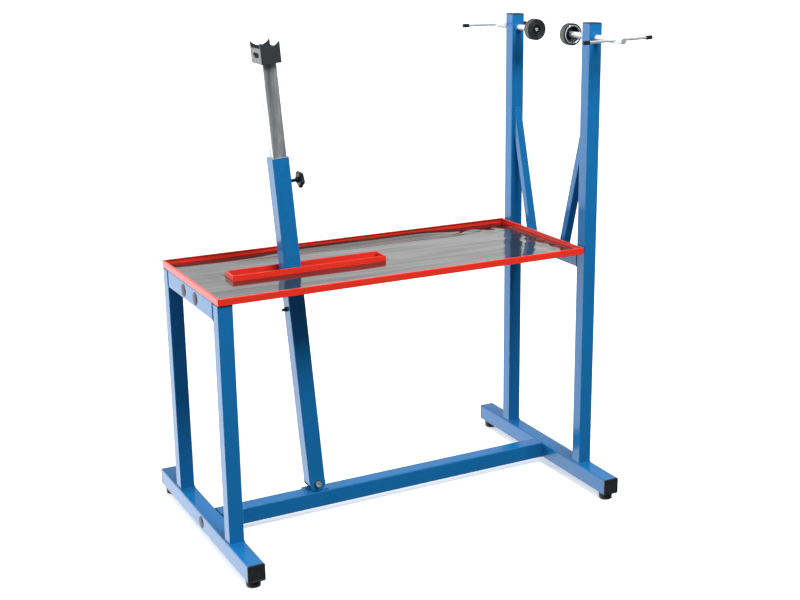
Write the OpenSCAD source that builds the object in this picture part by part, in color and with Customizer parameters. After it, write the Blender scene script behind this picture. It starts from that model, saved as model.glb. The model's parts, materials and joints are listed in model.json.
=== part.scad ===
// Workshop stand for repairing bicycles: a square-tube bench with a tray, a leaning
// telescopic support with a cradle for the bottom bracket, and two posts that carry
// a pair of opposed screw clamps for the axle ends.
// Millimetres, +Z up. The origin is on the floor, in the middle of the whole object.

/* [Frame] */
// Outside length of the table frame, along X
frame_len = 1205; // [1150:5:1300]
// Length of each foot beam along Y, end caps included
frame_depth = 760; // [720:5:800]
// Side of the square tube of the beams and of the leaning support
beam_w = 50; // [48:1:52]
// Wall of the beams
beam_wall = 3; // [2:0.5:4]
// Side of the square tube of the legs and posts
leg_w = 42.5; // [40:0.5:43]
// Wall of the legs and posts
leg_wall = 2.5; // [2:0.5:3]
// Distance over the outer faces of the two legs, and of the two posts
legs_over = 470; // [460:2:474]
// Height of the tray's underside above the floor
tray_z = 757; // [740:1:780]
// Height of the posts, caps included
post_top = 1440; // [1420:5:1480]
// Side of the tube of the diagonal braces
brace_w = 25; // [20:1:30]
// Lean of the braces from the vertical
brace_lean = 15.7; // [14:0.1:18]
// Distance of a brace's foot from the middle of the cross tube
brace_foot_y = 94; // [85:1:105]

/* [Tray] */
// Length of the tray
tray_len = 1150; // [1120:5:1150]
// Width of the tray
tray_w = 480; // [476:2:500]
// Height of the tray's rim
rim_h = 20; // [16:1:24]
// Thickness of the tray's sheet
sheet = 1.5; // [1:0.5:2]
// Width of the folded edge on top of the rim
hem_w = 4; // [3:0.5:5]
// Thickness of the rubber mat
mat_t = 2; // [1:0.5:3]
// Clear length of the slot that the support leans in
slot_len = 466; // [460:2:480]
// Clear width of the slot
slot_w = 60; // [58:1:62]
// Wall of the raised edge round the slot
coaming_t = 3; // [2:0.5:4]

/* [Leaning support] */
// Distance of the pivot from the left end of the frame
pivot_x = 357; // [350:1:365]
// Height of the pivot above the floor
pivot_z = 100; // [98:1:106]
// Lean to the left in the rest position
lean = 4.5; // [0:0.5:10]
// Length of the outer tube above the pivot
outer_len = 995; // [950:5:1040]
// Height of the clamping knob above the pivot, along the tube
knob_at = 921; // [900:1:930]
// Height of the stop bolt above the pivot, along the tube
stop_at = 552; // [540:1:560]
// Side of the inner tube
inner_w = 40; // [39.6:0.1:40]
// Height of the cradle's underside above the pivot, along the tube
cradle_at = 1257; // [1240:1:1300]
// Length of inner tube below the cradle
inner_len = 450; // [445:5:460]
// Radius of the saddle
saddle_r = 34; // [32:0.5:36]
// Diameter of the pivot bolt
pivot_d = 10; // [8:1:12]

/* [Clamps] */
// Height of the clamp axis above the floor
clamp_z = 1398; // [1390:1:1404]
// Distance of the front head's face from the middle
front_face = 92; // [85:1:100]
// Distance of the rear head's face from the middle
rear_face = 84; // [80:1:100]
// Diameter of the rubber on each head
head_d = 65; // [60:1:70]
// Thickness of each head
head_t = 24; // [22:1:28]
// Diameter of the spindles
spindle_d = 18; // [16:1:20]
// Distance of the cross hole from the head's face
bar_at = 241; // [235:1:250]
// Distance of the spindle's end from the head's face
spindle_end = 279; // [270:1:285]
// Length of each bar over its caps
bar_len = 237; // [200:1:240]
// Diameter of each bar
bar_d = 8; // [8:1:10]
// Sideways place of the front bar in its hole
front_bar_shift = 7; // [-10:1:20]
// Sideways place of the rear bar in its hole
rear_bar_shift = -8; // [-15:1:15]
// Slope of the front bar, right end up
front_bar_turn = 1.5; // [-5:0.5:5]

/* [Feet and caps] */
// Height of the rubber feet
foot_h = 22; // [18:1:26]
// Diameter of the rubber feet
foot_d = 42; // [36:1:46]
// Distance of each foot from the end of its beam
foot_inset = 30; // [28:1:40]
// Thickness of the caps on the beam ends
end_cap_t = 4; // [3:0.5:5]
// Thickness of the caps on legs and posts
top_cap_t = 3; // [2:0.5:4]
// Diameter of the round plugs that close the bolt access holes
plug_d = 36; // [30:1:38]
// Height of their domes
plug_h = 3; // [2:0.5:4]

/* [Hidden] */
$fn = 48;
running = 0.05;                              // radial clearance of a running fit
gap = 0.3;                                   // clearance between faces that move past each other
seam = 0.05;                                 // space left between sheets of the tray that meet
beam_r = 4;                                  // corner radius of the larger tube
leg_r = 3.5;                                 // corner radius of the smaller tube
beam_z = foot_h;                             // underside of the beams
beam_top = beam_z + beam_w;
beam_mid = beam_z + beam_w / 2;
half_depth = frame_depth / 2;
tube_half = half_depth - end_cap_t;          // half length of a foot beam without its caps
right_x = frame_len - beam_w;                // left face of the right foot beam
leg_x = (beam_w - leg_w) / 2;                // left face of the legs
post_x = right_x + leg_x;                    // left face of the posts
post_mid = post_x + leg_w / 2;
side_y = legs_over / 2 - leg_w / 2;          // centre of the legs and posts
inside_y = legs_over / 2 - leg_w;            // their inner faces
cross_z = tray_z - beam_w / 2;               // centre of the two upper cross tubes
rail_w = 40;                                 // side of the rails under the tray
rail_y = slot_w / 2 + rail_w / 2;            // centre of each rail
rail_z = tray_z - rail_w / 2;
tray_x = leg_x;                              // left end of the tray
floor_z = tray_z + sheet;                    // upper side of the tray's floor
rim_z = tray_z + rim_h;
coaming_len = slot_len + 2 * coaming_t;
coaming_w = slot_w + 2 * coaming_t;
mat_gap = 2;                                 // space round the mat
frame_bolt_r = 5;                            // frame bolts, M10
frame_head_r = 8;
plug_hole_r = plug_d / 2 - 1.5;
outer_gap = beam_w - 2 * beam_wall;          // clear width inside the support
lug_w = outer_gap - 2 * gap;
lug_ear_t = 8;
lug_ear_r = 16;
lug_base_t = 6;
lug_base_len = 70;
bush_r = 7;
bush_flange_r = 11;
bush_flange_t = 1.5;
cradle_w = 57;
cradle_d = 76;
cradle_plate_t = 4;
cradle_side_t = 3;
cradle_base_t = 4;
saddle_low = 45;                             // saddle's lowest line above the cradle's underside
cradle_side_h = 42;
glide_h = 30;
glide_drop = 10;                             // how far the glide reaches below the inner tube
pad_r = 4.7;
pad_t = 2;
stud_r = 5;
knob_d = 50;
knob_t = 15;
knob_out = 27;                               // gap between the tube and the knob's back
knob_lobes = 5;
m8_r = 4;                                    // M8 screws
cup_r = 27.5;                                // outside of each head's metal cup
cup_wall = 3.5;
rubber_face = 5;                             // rubber in front of the cup's floor
cup_floor = 3;
journal_r = 6;
collar_at = 16;                              // shoulder of the spindle, from the head's face
recess_r = 14;                               // recess in the middle of each head's face
bush_out_r = 16;                             // threaded bushes in the posts
bush_proud = 3;
cap_r = 6.25;                                // caps on the bars
cap_len = 20;
x_min = -plug_h;                             // ends of the whole object along X
x_max = post_mid + (front_bar_shift + bar_len / 2) * cos(front_bar_turn);
x_mid = (x_min + x_max) / 2;

// ---------- shared shapes ----------

// Moves the bench, drawn with its left end at x = 0, onto the object's own origin
module placed() { translate([-x_mid, 0, 0]) children(); }

// Moves a piece drawn about the pivot, tube axis up, into its leaning place
module leaning() { placed() translate([pivot_x, 0, pivot_z]) rotate([0, -lean, 0]) children(); }

// Moves a clamp piece drawn on its own axis: face at z = 0, spindle towards +Z
module front_clamp() { placed() translate([post_mid, -front_face, clamp_z]) rotate([90, 0, 0]) children(); }
module rear_clamp() { placed() translate([post_mid, rear_face, clamp_z]) rotate([-90, 0, 0]) children(); }

module round_rect(w, h, r) {
    square([w - 2 * r, h], center = true);
    square([w, h - 2 * r], center = true);
    for (x = [-1, 1], y = [-1, 1]) translate([x * (w / 2 - r), y * (h / 2 - r)]) circle(r = r);
}

// Square tube along +Z from the origin
module tube(len, w, wall, r) {
    linear_extrude(len) difference() {
        round_rect(w, w, r);
        round_rect(w - 2 * wall, w - 2 * wall, max(r - wall, 0.8));
    }
}

module along_x() { rotate([0, 90, 0]) children(); }
module along_y() { rotate([-90, 0, 0]) children(); }

// Bolt with a hexagonal socket head below z = 0 and its shank upwards
module socket_bolt(r, len, head_r, head_h, socket_af) {
    difference() {
        union() {
            translate([0, 0, -head_h]) cylinder(r = head_r, h = head_h);
            cylinder(r = r, h = len);
        }
        translate([0, 0, -head_h - 1]) cylinder(d = socket_af * 2 / sqrt(3), h = head_h * 0.6 + 1, $fn = 6);
    }
}

module hex_nut(af, h, r) {
    difference() {
        cylinder(d = af * 2 / sqrt(3), h = h, $fn = 6);
        translate([0, 0, -1]) cylinder(r = r, h = h + 2);
    }
}

// Flat cap with a plug that fills a square tube, top of the tube at z = 0
module tube_cap(w, wall, r, t, depth) {
    inner = w - 2 * wall;
    linear_extrude(t) round_rect(w, w, r);
    translate([0, 0, -depth]) linear_extrude(depth) difference() {
        round_rect(inner, inner, max(r - wall, 0.8));
        square(inner - 5, center = true);
    }
}

// Round domed plug, dome towards +Z from the tube's face at z = 0
module round_plug() {
    dome_r = (plug_d * plug_d / 4 + plug_h * plug_h) / (2 * plug_h);
    rotate_extrude() intersection() {
        translate([0, plug_h - dome_r]) circle(r = dome_r, $fn = 96);
        square([plug_d / 2, plug_h]);
    }
    translate([0, 0, -beam_wall - 2]) difference() {
        cylinder(r = plug_hole_r, h = beam_wall + 2);
        translate([0, 0, -1]) cylinder(r = plug_hole_r - 3, h = beam_wall + 2);
    }
}

// ---------- feet and beams ----------

module foot_beam_tube() {
    translate([beam_w / 2, -tube_half, beam_mid]) along_y() tube(2 * tube_half, beam_w, beam_wall, beam_r);
}

module stud_holes() {
    for (s = [-1, 1]) translate([beam_w / 2, s * (half_depth - foot_inset), beam_z - 1])
        cylinder(r = m8_r, h = beam_wall + 2);
}

module left_foot_beam() {
    color("royalblue") placed() difference() {
        foot_beam_tube();
        stud_holes();
        translate([-1, 0, beam_mid]) along_x() cylinder(r = plug_hole_r, h = beam_wall + 2);
        translate([beam_w - beam_wall - 1, 0, beam_mid]) along_x()
            cylinder(r = frame_bolt_r, h = beam_wall + 2);
    }
}

module right_foot_beam() {
    color("royalblue") placed() translate([right_x, 0, 0]) difference() {
        foot_beam_tube();
        stud_holes();
    }
}

module beam_end_caps() {
    color("dimgray") placed() for (x = [0, right_x], s = [-1, 1])
        translate([x + beam_w / 2, s * tube_half, beam_mid]) rotate([-90 * s, 0, 0])
            tube_cap(beam_w, beam_wall, beam_r, end_cap_t, 14);
}

module rubber_feet() {
    chamfer = 2;
    color("dimgray") placed() for (x = [0, right_x], s = [-1, 1])
        translate([x + beam_w / 2, s * (half_depth - foot_inset), 0]) difference() {
            union() {
                cylinder(r1 = foot_d / 2 - chamfer, r2 = foot_d / 2, h = chamfer);
                translate([0, 0, chamfer]) cylinder(d = foot_d, h = foot_h - chamfer);
            }
            translate([0, 0, foot_h - 8]) cylinder(r = m8_r, h = 9);
        }
}

module foot_studs() {
    stud_len = 8 + beam_wall + 9;
    color("silver") placed() for (x = [0, right_x], s = [-1, 1])
        translate([x + beam_w / 2, s * (half_depth - foot_inset), foot_h - 8]) {
            cylinder(r = m8_r, h = stud_len);
            translate([0, 0, 8 + beam_wall]) hex_nut(13, 6.5, m8_r);
        }
}

module lower_beam() {
    x0 = beam_w + top_cap_t;
    color("royalblue") placed() translate([x0, 0, beam_mid]) along_x()
        tube(right_x - x0, beam_w, beam_wall, beam_r);
}

module lower_beam_plug() {
    depth = 16;
    color("dimgray") placed() translate([beam_w, 0, beam_mid]) along_x() difference() {
        union() {
            linear_extrude(top_cap_t) round_rect(beam_w, beam_w, beam_r);
            translate([0, 0, top_cap_t]) linear_extrude(depth)
                round_rect(outer_gap, outer_gap, 1);
        }
        translate([0, 0, -1]) cylinder(r = frame_bolt_r, h = depth + top_cap_t + 2);
    }
}

// One bolt through the left foot beam into the lower beam, and one into each rail
module frame_bolts() {
    color("silver") placed() {
        translate([beam_w - beam_wall, 0, beam_mid]) along_x() {
            socket_bolt(frame_bolt_r, 30, frame_head_r, 10, 8);
            translate([0, 0, beam_wall + top_cap_t + 16]) hex_nut(17, 8, frame_bolt_r);
        }
        for (s = [-1, 1]) translate([leg_x + leg_w - leg_wall, s * rail_y, cross_z]) along_x()
            socket_bolt(frame_bolt_r, 22, frame_head_r, 10, 8);
    }
}

// ---------- legs, posts and cross tubes ----------

module leg(s) {
    translate([leg_x + leg_w / 2, s * side_y, beam_top])
        tube(tray_z - top_cap_t - beam_top, leg_w, leg_wall, leg_r);
}

module left_front_leg() { color("royalblue") placed() leg(-1); }
module left_rear_leg() { color("royalblue") placed() leg(1); }

module leg_caps() {
    color("dimgray") placed() for (s = [-1, 1])
        translate([leg_x + leg_w / 2, s * side_y, tray_z - top_cap_t])
            tube_cap(leg_w, leg_wall, leg_r, top_cap_t, 12);
}

module cross_tube(x) {
    translate([x + leg_w / 2, -inside_y, cross_z]) along_y() linear_extrude(2 * inside_y) difference() {
        round_rect(leg_w, beam_w, leg_r);
        round_rect(leg_w - 2 * leg_wall, beam_w - 2 * leg_wall, 1);
    }
}

module left_cross_tube() {
    color("royalblue") placed() difference() {
        cross_tube(leg_x);
        for (s = [-1, 1]) translate([leg_x, s * rail_y, cross_z]) along_x() {
            translate([0, 0, -1]) cylinder(r = plug_hole_r, h = leg_wall + 2);
            translate([0, 0, leg_w - leg_wall - 1]) cylinder(r = frame_bolt_r, h = leg_wall + 2);
        }
    }
}

module access_plugs() {
    color("dimgray") placed() {
        translate([0, 0, beam_mid]) rotate([0, -90, 0]) round_plug();
        for (s = [-1, 1]) translate([leg_x, s * rail_y, cross_z]) rotate([0, -90, 0]) round_plug();
    }
}

module right_cross_tube() { color("royalblue") placed() cross_tube(post_x); }

module post(s) {
    height = post_top - top_cap_t - beam_top;
    difference() {
        translate([post_mid, s * side_y, beam_top]) tube(height, leg_w, leg_wall, leg_r);
        translate([post_mid, s * side_y - leg_w, clamp_z]) along_y() cylinder(r = bush_out_r, h = 2 * leg_w);
    }
}

module front_post() { color("royalblue") placed() post(-1); }
module rear_post() { color("royalblue") placed() post(1); }

module post_caps() {
    color("dimgray") placed() for (s = [-1, 1])
        translate([post_mid, s * side_y, post_top - top_cap_t])
            tube_cap(leg_w, leg_wall, leg_r, top_cap_t, 12);
}

// Brace on the side s, cut off at the cross tube and at the post
module brace(s) {
    reach = 120;
    intersection() {
        translate([post_mid, s * brace_foot_y, tray_z]) rotate([-s * brace_lean, 0, 0])
            translate([0, 0, -reach]) tube(500 + reach, brace_w, 2, 2.5);
        translate([post_x, s > 0 ? 0 : -inside_y, tray_z]) cube([leg_w, inside_y, post_top]);
    }
}

module front_brace() { color("royalblue") placed() brace(-1); }
module rear_brace() { color("royalblue") placed() brace(1); }

// ---------- rails and tray ----------

module rail(s) {
    x0 = leg_x + leg_w;
    end_t = 8;
    translate([x0, s * rail_y, rail_z]) along_x() difference() {
        union() {
            tube(post_x - x0, rail_w, 2, 3);
            linear_extrude(end_t) square(rail_w - 4, center = true);
        }
        // The rail's height axis runs along -X here
        translate([rail_z - cross_z, 0, -1]) cylinder(r = frame_bolt_r, h = end_t + 2);
        for (x = screw_places()) translate([-rail_w / 2 - 1, 0, x - x0]) along_x() cylinder(r = 2.5, h = 4);
    }
}

function screw_places() = [tray_x + 60, tray_x + tray_len - 60];

module front_rail() { color("royalblue") placed() rail(-1); }
module rear_rail() { color("royalblue") placed() rail(1); }

// The floor is in four sheets that meet round the slot
module tray_floor() {
    x0 = tray_x + hem_w;
    x1 = pivot_x - coaming_len / 2;
    x2 = pivot_x + coaming_len / 2;
    x3 = tray_x + tray_len - hem_w;
    half_w = tray_w / 2 - hem_w;
    strip_w = half_w - coaming_w / 2;
    strip_len = coaming_len - 2 * seam;
    color("red") placed() translate([0, 0, tray_z]) {
        holed_sheet() translate([x0, -half_w]) square([x1 - x0, 2 * half_w]);
        holed_sheet() translate([x2, -half_w]) square([x3 - x2, 2 * half_w]);
        translate([x1 + seam, -half_w, 0]) cube([strip_len, strip_w, sheet]);
        translate([x1 + seam, half_w - strip_w, 0]) cube([strip_len, strip_w, sheet]);
    }
}

module holed_sheet() {
    linear_extrude(sheet) difference() {
        children();
        for (x = screw_places(), s = [-1, 1]) translate([x, s * rail_y]) circle(r = 2.5);
    }
}

// Wall and folded edge of one side, mitred at both ends; its middle is at the origin and it faces -Y
module rim_side(len) {
    rotate([90, 0, 90]) translate([0, 0, -len / 2]) difference() {
        linear_extrude(len) {
            square([sheet, rim_h]);
            square([hem_w, sheet]);
            translate([0, rim_h - sheet]) square([hem_w, sheet]);
        }
        for (end = [0, 1]) translate([0, -1, end * len]) mirror([0, 0, end]) rotate([90, 0, 0])
            mirror([0, 0, 1]) linear_extrude(rim_h + 2) translate([-seam, 0])
                polygon([[-hem_w, -hem_w], [2 * hem_w, -hem_w], [2 * hem_w, 2 * hem_w]]);
    }
}

module tray_rim() {
    color("red") placed() translate([tray_x + tray_len / 2, 0, tray_z]) for (turn = [0, 180]) rotate(turn) {
        translate([0, -tray_w / 2, 0]) rim_side(tray_len);
        translate([-tray_len / 2, 0, 0]) rotate(-90) rim_side(tray_w);
    }
}

module slot_coaming() {
    color("red") placed() translate([pivot_x, 0, tray_z]) linear_extrude(rim_h) difference() {
        square([coaming_len, coaming_w], center = true);
        square([slot_len, slot_w], center = true);
    }
}

module tray_mat() {
    edge = 2 * (hem_w + mat_gap);
    color("gray") placed() translate([0, 0, floor_z]) linear_extrude(mat_t) difference() {
        translate([tray_x + tray_len / 2, 0]) square([tray_len - edge, tray_w - edge], center = true);
        translate([pivot_x, 0]) square([coaming_len + 2 * mat_gap, coaming_w + 2 * mat_gap], center = true);
        for (x = screw_places(), s = [-1, 1]) translate([x, s * rail_y]) circle(r = 7);
    }
}

module tray_screws() {
    color("silver") placed() for (x = screw_places(), s = [-1, 1]) translate([x, s * rail_y, floor_z])
        rotate([180, 0, 0]) socket_bolt(2.5, 12, 5, 1.6, 3);
}

// ---------- pivot ----------

module pivot_lug() {
    ear_y = lug_w / 2 - lug_ear_t / 2;
    rise = pivot_z - beam_top;
    color("royalblue") placed() translate([pivot_x, 0, pivot_z]) difference() {
        union() {
            translate([-lug_base_len / 2, -lug_w / 2, -rise]) cube([lug_base_len, lug_w, lug_base_t]);
            for (s = [-1, 1]) translate([0, s * ear_y, 0]) {
                rotate([90, 0, 0]) cylinder(r = lug_ear_r, h = lug_ear_t, center = true);
                translate([-lug_ear_r, -lug_ear_t / 2, -rise]) cube([2 * lug_ear_r, lug_ear_t, rise]);
            }
        }
        rotate([90, 0, 0]) cylinder(r = pivot_d / 2, h = 2 * beam_w, center = true);
    }
}

module pivot_bolt() {
    head_y = beam_w / 2 + bush_flange_t + gap;
    color("silver") placed() translate([pivot_x, -head_y, pivot_z]) along_y()
        socket_bolt(pivot_d / 2, 2 * head_y + 14, 8.5, 8, 8);
}

module pivot_nut() {
    face_y = beam_w / 2 + bush_flange_t + gap;
    washer_t = 2;
    color("silver") placed() translate([pivot_x, face_y, pivot_z]) along_y() {
        difference() {
            cylinder(r = 10.5, h = washer_t);
            translate([0, 0, -1]) cylinder(r = pivot_d / 2, h = washer_t + 2);
        }
        translate([0, 0, washer_t]) hex_nut(17, 10, pivot_d / 2);
    }
}

module pivot_bushes() {
    color("dimgray") leaning() for (s = [-1, 1]) rotate([90 * s, 0, 0]) difference() {
        union() {
            translate([0, 0, outer_gap / 2]) cylinder(r = bush_r, h = beam_wall);
            translate([0, 0, beam_w / 2]) cylinder(r = bush_flange_r, h = bush_flange_t);
        }
        cylinder(r = pivot_d / 2 + running, h = beam_w);
    }
}

// ---------- leaning support ----------

module support_outer_tube() {
    color("royalblue") leaning() difference() {
        union() {
            tube(outer_len, beam_w, beam_wall, beam_r);
            // The front and back walls end in rounded ears about the pivot
            for (s = [-1, 1]) translate([0, s * (beam_w - beam_wall) / 2, 0])
                rotate([90, 0, 0]) cylinder(d = beam_w, h = beam_wall, center = true);
        }
        rotate([90, 0, 0]) cylinder(r = bush_r, h = 2 * beam_w, center = true);
        translate([0, 0, knob_at]) along_x() cylinder(r = bush_r, h = beam_w);
        translate([-beam_w, 0, stop_at]) along_x() cylinder(r = m8_r, h = 2 * beam_w);
    }
}

module guide_sleeve() {
    sleeve_len = 60;
    color("gainsboro") leaning() translate([0, 0, outer_len - sleeve_len])
        linear_extrude(sleeve_len) difference() {
        round_rect(outer_gap, outer_gap, 1);
        round_rect(inner_w + gap, inner_w + gap, 2);
    }
}

module knob_nut() {
    color("royalblue") leaning() translate([0, 0, knob_at]) along_x() difference() {
        union() {
            translate([0, 0, outer_gap / 2]) cylinder(r = bush_r, h = beam_wall);
            translate([0, 0, beam_w / 2]) cylinder(r = 10, h = 3);
        }
        cylinder(r = stud_r + running, h = beam_w);
    }
}

module stop_bolt() {
    nut_h = 6.5;
    tail = 15;
    color("dimgray") leaning() translate([0, 0, stop_at]) {
        translate([-beam_w / 2 - tail, 0, 0]) along_x() cylinder(r = m8_r, h = beam_w + tail);
        translate([-beam_w / 2 - nut_h, 0, 0]) along_x() hex_nut(13, nut_h, m8_r);
        translate([beam_w / 2, 0, 0]) along_x() cylinder(d = 13 * 2 / sqrt(3), h = 5.3, $fn = 6);
    }
}

module support_inner_tube() {
    wall = 3;
    groove_w = 4;
    groove_depth = 1.2;
    color("silver") leaning() translate([0, 0, cradle_at - inner_len]) difference() {
        tube(inner_len, inner_w, wall, 2.5);
        // Seam along the front face
        translate([inner_w * 0.08, -inner_w / 2 - 1, -1]) cube([groove_w, groove_depth + 1, inner_len + 2]);
    }
}

module inner_tube_glide() {
    inner = inner_w - 6;
    side = outer_gap - 2 * 0.2;
    color("dimgray") leaning() translate([0, 0, cradle_at - inner_len - glide_drop]) {
        linear_extrude(glide_drop) round_rect(side, side, 1);
        translate([0, 0, glide_drop]) linear_extrude(glide_h - glide_drop) difference() {
            round_rect(inner, inner, 1);
            square(inner - 8, center = true);
        }
    }
}

module cradle_mount_block() {
    side = inner_w - 6;
    block_h = 25;
    color("silver") leaning() translate([0, 0, cradle_at - block_h]) difference() {
        linear_extrude(block_h) round_rect(side, side, 1);
        translate([0, 0, -1]) cylinder(r = stud_r, h = block_h + 2);
    }
}

module cradle_body() {
    body_d = cradle_d - 2 * cradle_plate_t;
    window_h = 14;
    window_l = 40;
    color("dimgray") leaning() translate([0, 0, cradle_at]) difference() {
        translate([-cradle_w / 2, -body_d / 2, 0]) cube([cradle_w, body_d, cradle_side_h]);
        translate([-cradle_w / 2 + cradle_side_t, -body_d, cradle_base_t])
            cube([cradle_w - 2 * cradle_side_t, 2 * body_d, cradle_side_h]);
        // One long hole with round ends through both side walls
        translate([0, 0, cradle_side_h / 2 + 2]) along_x() linear_extrude(2 * cradle_w, center = true) {
            square([window_h, window_l - window_h], center = true);
            for (s = [-1, 1]) translate([0, s * (window_l - window_h) / 2]) circle(d = window_h);
        }
        translate([0, 0, -1]) cylinder(r = stud_r, h = cradle_base_t + 2);
    }
}

// Plate with the saddle cut into its upper edge, on the side s
module saddle_plate(s) {
    tip = 1.5;
    half = cradle_w / 2 - tip;
    horn = saddle_low + saddle_r - sqrt(saddle_r * saddle_r - half * half);
    translate([0, s * (cradle_d - cradle_plate_t) / 2, cradle_at]) difference() {
        translate([-cradle_w / 2, -cradle_plate_t / 2, 0]) cube([cradle_w, cradle_plate_t, horn]);
        translate([0, 0, saddle_low + saddle_r]) rotate([90, 0, 0])
            cylinder(r = saddle_r, h = 2 * cradle_plate_t, center = true, $fn = 96);
    }
}

module cradle_front_plate() { color("dimgray") leaning() saddle_plate(-1); }
module cradle_rear_plate() { color("dimgray") leaning() saddle_plate(1); }

module cradle_bolt() {
    color("silver") leaning() translate([0, 0, cradle_at + cradle_base_t]) rotate([180, 0, 0])
        socket_bolt(stud_r, 24, 8.5, 6, 8);
}

// ---------- clamping knob ----------

module clamp_pad() {
    color("goldenrod") leaning() translate([inner_w / 2 + 0.1, 0, knob_at]) along_x()
        cylinder(r = pad_r, h = pad_t);
}

module clamp_screw() {
    start = inner_w / 2 + 0.1 + pad_t + 0.1;
    color("dimgray") leaning() translate([start, 0, knob_at]) along_x()
        cylinder(r = stud_r, h = beam_w / 2 + knob_out + 6 - start);
}

module star_knob() {
    lobe_r = 8;
    core_r = knob_d / 2 - 7;
    hub_h = 6;
    color("dimgray") leaning() translate([beam_w / 2 + knob_out, 0, knob_at]) along_x() difference() {
        union() {
            translate([0, 0, -hub_h]) cylinder(r = 8, h = hub_h);
            linear_extrude(knob_t) {
                circle(r = core_r);
                for (i = [0:knob_lobes - 1]) rotate(i * 360 / knob_lobes + 180)
                    translate([knob_d / 2 - lobe_r, 0]) circle(r = lobe_r);
            }
        }
        translate([0, 0, -hub_h - 1]) cylinder(r = stud_r, h = hub_h + 7);
    }
}

// ---------- screw clamps, drawn from the head's face at z = 0 ----------

module thread_bush(s) {
    len = leg_w + 2 * bush_proud;
    translate([post_mid, s * side_y, clamp_z]) rotate([90, 0, 0]) difference() {
        cylinder(r = bush_out_r, h = len, center = true);
        cylinder(r = spindle_d / 2 + running, h = len + 2, center = true);
    }
}

module front_thread_bush() { color("royalblue") placed() thread_bush(-1); }
module rear_thread_bush() { color("royalblue") placed() thread_bush(1); }

module head_rubber() {
    edge = 2;
    lip = 1;
    groove_r = 22;
    rotate_extrude() difference() {
        polygon([
            [recess_r, 0], [head_d / 2 - edge, 0], [head_d / 2, edge], [head_d / 2, head_t - edge],
            [head_d / 2 - edge, head_t - lip], [cup_r, head_t - lip],
            [cup_r, rubber_face], [recess_r, rubber_face]
        ]);
        translate([groove_r, 0]) circle(r = 1.2, $fn = 24);
    }
}

module head_cup() {
    rotate_extrude() polygon([
        [9, rubber_face], [cup_r, rubber_face], [cup_r, head_t], [cup_r - cup_wall, head_t],
        [cup_r - cup_wall, rubber_face + cup_floor], [14, rubber_face + cup_floor], [14, collar_at - 3],
        [9, collar_at - 3]
    ]);
}

module head_bearing() {
    flange_r = 12;
    difference() {
        union() {
            translate([0, 0, rubber_face]) cylinder(r = 9, h = collar_at - 2 - rubber_face);
            translate([0, 0, collar_at - 3]) cylinder(r = flange_r, h = 3 - gap);
        }
        cylinder(r = journal_r + running, h = collar_at + 1);
    }
}

module spindle() {
    difference() {
        union() {
            translate([0, 0, rubber_face - gap]) cylinder(r = journal_r, h = collar_at - rubber_face + gap);
            translate([0, 0, collar_at]) cylinder(d = spindle_d, h = spindle_end - collar_at - 1);
            translate([0, 0, spindle_end - 1]) cylinder(d1 = spindle_d, d2 = spindle_d - 2, h = 1);
        }
        translate([0, 0, bar_at]) along_x()
            cylinder(r = bar_d / 2 + running, h = 2 * spindle_d, center = true);
        cylinder(r = m8_r, h = collar_at + 14);
    }
}

module retaining_screw() {
    head_h = 3;
    color("gainsboro") difference() {
        union() {
            cylinder(r = 5, h = head_h);
            translate([0, 0, head_h]) cylinder(r = 10, h = rubber_face - head_h - gap);
            translate([0, 0, rubber_face - gap]) cylinder(r = m8_r, h = collar_at + 4);
        }
        translate([0, 0, -1]) cylinder(d = 5 * 2 / sqrt(3), h = 2.8, $fn = 6);
    }
}

module bar(shift) {
    len = bar_len - 2 * 3;
    translate([shift - len / 2, 0, bar_at]) along_x() cylinder(d = bar_d, h = len);
}

module bar_caps(shift) {
    for (s = [-1, 1]) translate([shift + s * bar_len / 2, 0, bar_at]) rotate([0, -90 * s, 0]) difference() {
        union() {
            cylinder(r1 = cap_r - 1.5, r2 = cap_r, h = 1.5);
            translate([0, 0, 1.5]) cylinder(r = cap_r, h = cap_len - 1.5);
        }
        translate([0, 0, 3]) cylinder(d = bar_d, h = cap_len);
    }
}

module front_head_cup() { color("silver") front_clamp() head_cup(); }
module front_head_rubber() { color("dimgray") front_clamp() head_rubber(); }
module front_head_bearing() { color("goldenrod") front_clamp() head_bearing(); }
module front_spindle() { color("gainsboro") front_clamp() rotate(front_bar_turn) spindle(); }
module front_retaining_screw() { front_clamp() retaining_screw(); }
module front_bar() { color("gainsboro") front_clamp() rotate(front_bar_turn) bar(front_bar_shift); }
module front_bar_caps() { color("dimgray") front_clamp() rotate(front_bar_turn) bar_caps(front_bar_shift); }

module rear_head_cup() { color("silver") rear_clamp() head_cup(); }
module rear_head_rubber() { color("dimgray") rear_clamp() head_rubber(); }
module rear_head_bearing() { color("goldenrod") rear_clamp() head_bearing(); }
module rear_spindle() { color("gainsboro") rear_clamp() spindle(); }
module rear_retaining_screw() { rear_clamp() retaining_screw(); }
module rear_bar() { color("gainsboro") rear_clamp() bar(rear_bar_shift); }
module rear_bar_caps() { color("dimgray") rear_clamp() bar_caps(rear_bar_shift); }

left_foot_beam();
right_foot_beam();
beam_end_caps();
rubber_feet();
foot_studs();
left_front_leg();
left_rear_leg();
leg_caps();
left_cross_tube();
access_plugs();
front_post();
rear_post();
post_caps();
right_cross_tube();
front_brace();
rear_brace();
lower_beam();
lower_beam_plug();
frame_bolts();
front_rail();
rear_rail();
tray_floor();
tray_rim();
slot_coaming();
tray_mat();
tray_screws();
pivot_lug();
pivot_bolt();
pivot_nut();
front_thread_bush();
rear_thread_bush();
support_outer_tube();
pivot_bushes();
guide_sleeve();
knob_nut();
stop_bolt();
support_inner_tube();
inner_tube_glide();
cradle_mount_block();
cradle_body();
cradle_front_plate();
cradle_rear_plate();
cradle_bolt();
clamp_pad();
clamp_screw();
star_knob();
front_head_cup();
front_head_rubber();
front_head_bearing();
front_spindle();
front_retaining_screw();
front_bar();
front_bar_caps();
rear_head_cup();
rear_head_rubber();
rear_head_bearing();
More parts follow.
